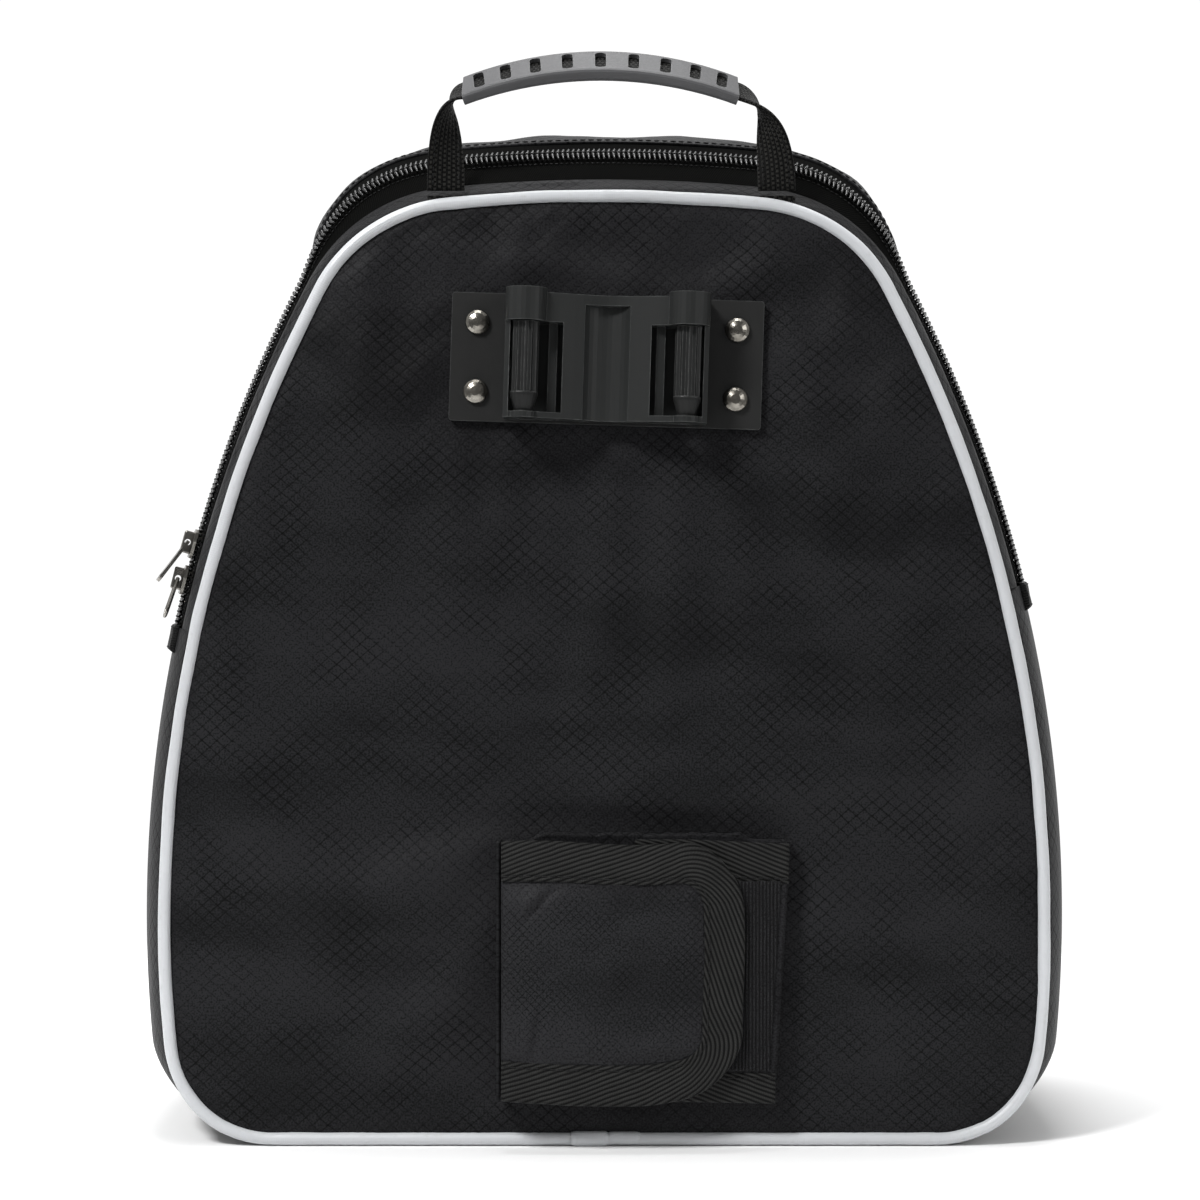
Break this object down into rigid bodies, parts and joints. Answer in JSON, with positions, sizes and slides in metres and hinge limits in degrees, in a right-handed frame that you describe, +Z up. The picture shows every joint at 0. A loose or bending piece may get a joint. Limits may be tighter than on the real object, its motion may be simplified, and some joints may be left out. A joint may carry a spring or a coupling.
{
  "type": "skate bag",
  "caption": "Arched fabric skate bag: zipped fold-down front, top carrying handle with moulded grip, roller clip for a shaft and a hook-and-loop cuff below it.",
  "frame": {"origin": "centre of the overall box's bottom, on the floor the bag stands on", "axes": "+Z up, the front panel with the clip faces -Y, +X to the right seen from the front"},
  "size_m": [0.3796, 0.193, 0.4393],
  "materials": {
    "ripstop": "matt black ripstop weave with a raised diamond grid",
    "piping": "pale silver-grey coated piping",
    "webbing": "black woven webbing",
    "zip_tape": "black woven zip tape",
    "zip_teeth": "black nylon coil",
    "twill_binding": "black herringbone twill tape",
    "hook_and_loop": "black hook-and-loop tape",
    "moulded_plastic": "black moulded plastic",
    "grip_plastic": "dark grey moulded plastic",
    "board": "stiff sheet",
    "nickel": "aged nickel plate",
    "gunmetal": "dark gunmetal plate"
  },
  "bodies": {
    "bag": {"gusset_bottom_panel": "ripstop", "gusset_front_strip_left": "ripstop", "gusset_front_strip_right": "ripstop", "gusset_rear_strip": "ripstop", "zip_front_tape_left": "zip_tape", "zip_front_tape_right": "zip_tape", "zip_rear_tape": "zip_tape", "zip_front_teeth_left": "zip_teeth", "zip_front_teeth_right": "zip_teeth", "zip_rear_teeth": "zip_teeth", "zip_end_tab_left": "webbing", "zip_end_tab_right": "webbing", "front_panel_lower": "ripstop", "front_piping_lower": "piping", "back_panel": "ripstop", "back_piping": "piping", "bottom_board": "board", "cuff_sleeve": "ripstop"},
    "lid": {"front_panel_upper": "ripstop", "front_piping_upper": "piping", "gusset_front_strip": "ripstop", "zip_front_tape": "zip_tape", "zip_front_teeth": "zip_teeth", "handle_webbing_end_left": "webbing", "handle_webbing_end_right": "webbing", "clip_base_plate": "moulded_plastic", "clip_cradle": "moulded_plastic", "roller_pin_left": "nickel", "roller_pin_right": "nickel", "clip_rivet_1": "nickel", "clip_rivet_2": "nickel", "clip_rivet_3": "nickel", "clip_rivet_4": "nickel", "rivet_washer_1": "nickel", "rivet_washer_2": "nickel", "rivet_washer_3": "nickel", "rivet_washer_4": "nickel"},
    "handle": {"handle_webbing": "webbing", "handle_grip": "grip_plastic"},
    "roller_left": {"grip_roller_left": "moulded_plastic"},
    "roller_right": {"grip_roller_right": "moulded_plastic"},
    "slider_upper": {"slider_upper": "gunmetal"},
    "slider_lower": {"slider_lower": "gunmetal"},
    "pull_upper": {"pull_upper": "gunmetal"},
    "pull_lower": {"pull_lower": "gunmetal"},
    "cuff_left": {"cuff_left_flap": "ripstop", "cuff_left_binding": "twill_binding", "cuff_loop_patch": "hook_and_loop"},
    "cuff_right": {"cuff_right_flap": "ripstop", "cuff_right_binding": "twill_binding", "cuff_hook_strip": "hook_and_loop"}
  },
  "joints": [
    {"name": "lid_fold", "type": "hinge", "parent": "bag", "child": "lid", "pos_m": [0, -0.0738, 0.2498], "axis": [1, 0, 0], "range_deg": [0, 125]},
    {"name": "handle_swing", "type": "hinge", "parent": "lid", "child": "handle", "pos_m": [0, -0.0686, 0.3823], "axis": [1, 0, 0], "range_deg": [-26, 108]},
    {"name": "roller_left_spin", "type": "hinge", "parent": "lid", "child": "roller_left", "pos_m": [-0.03138, -0.0883, 0.31451], "axis": [0.0314, 0, 0.9995], "continuous": true},
    {"name": "roller_right_spin", "type": "hinge", "parent": "lid", "child": "roller_right", "pos_m": [0.03298, -0.0883, 0.31249], "axis": [0.0314, 0, 0.9995], "continuous": true},
    {"name": "slider_upper_travel", "type": "hinge", "parent": "bag", "child": "slider_upper", "pos_m": [0.369, -0.0475, 0.0898], "axis": [0, 1, 0], "range_deg": [0, 8.3]},
    {"name": "slider_lower_travel", "type": "hinge", "parent": "bag", "child": "slider_lower", "pos_m": [0.369, -0.0475, 0.0898], "axis": [0, 1, 0], "range_deg": [-1, 0]},
    {"name": "pull_upper_swing", "type": "hinge", "parent": "slider_upper", "child": "pull_upper", "pos_m": [-0.17036, -0.04818, 0.24187], "axis": [-0.2158, 0.9745, 0.0608], "range_deg": [-8, 110]},
    {"name": "pull_lower_swing", "type": "hinge", "parent": "slider_lower", "child": "pull_lower", "pos_m": [-0.1743, -0.04818, 0.22712], "axis": [-0.2174, 0.9745, 0.0549], "range_deg": [-8, 40]},
    {"name": "cuff_left_fold", "type": "hinge", "parent": "bag", "child": "cuff_left", "pos_m": [-0.042, -0.0853, 0.0728], "axis": [0, 0, -1], "range_deg": [0, 170]},
    {"name": "cuff_right_fold", "type": "hinge", "parent": "bag", "child": "cuff_right", "pos_m": [0.07, -0.0814, 0.0728], "axis": [0, 0, 1], "range_deg": [0, 128]}
  ],
  "couplings": [
    {"joint": "cuff_right_fold", "follows": "cuff_left_fold", "ratio": 0.75}
  ]
}
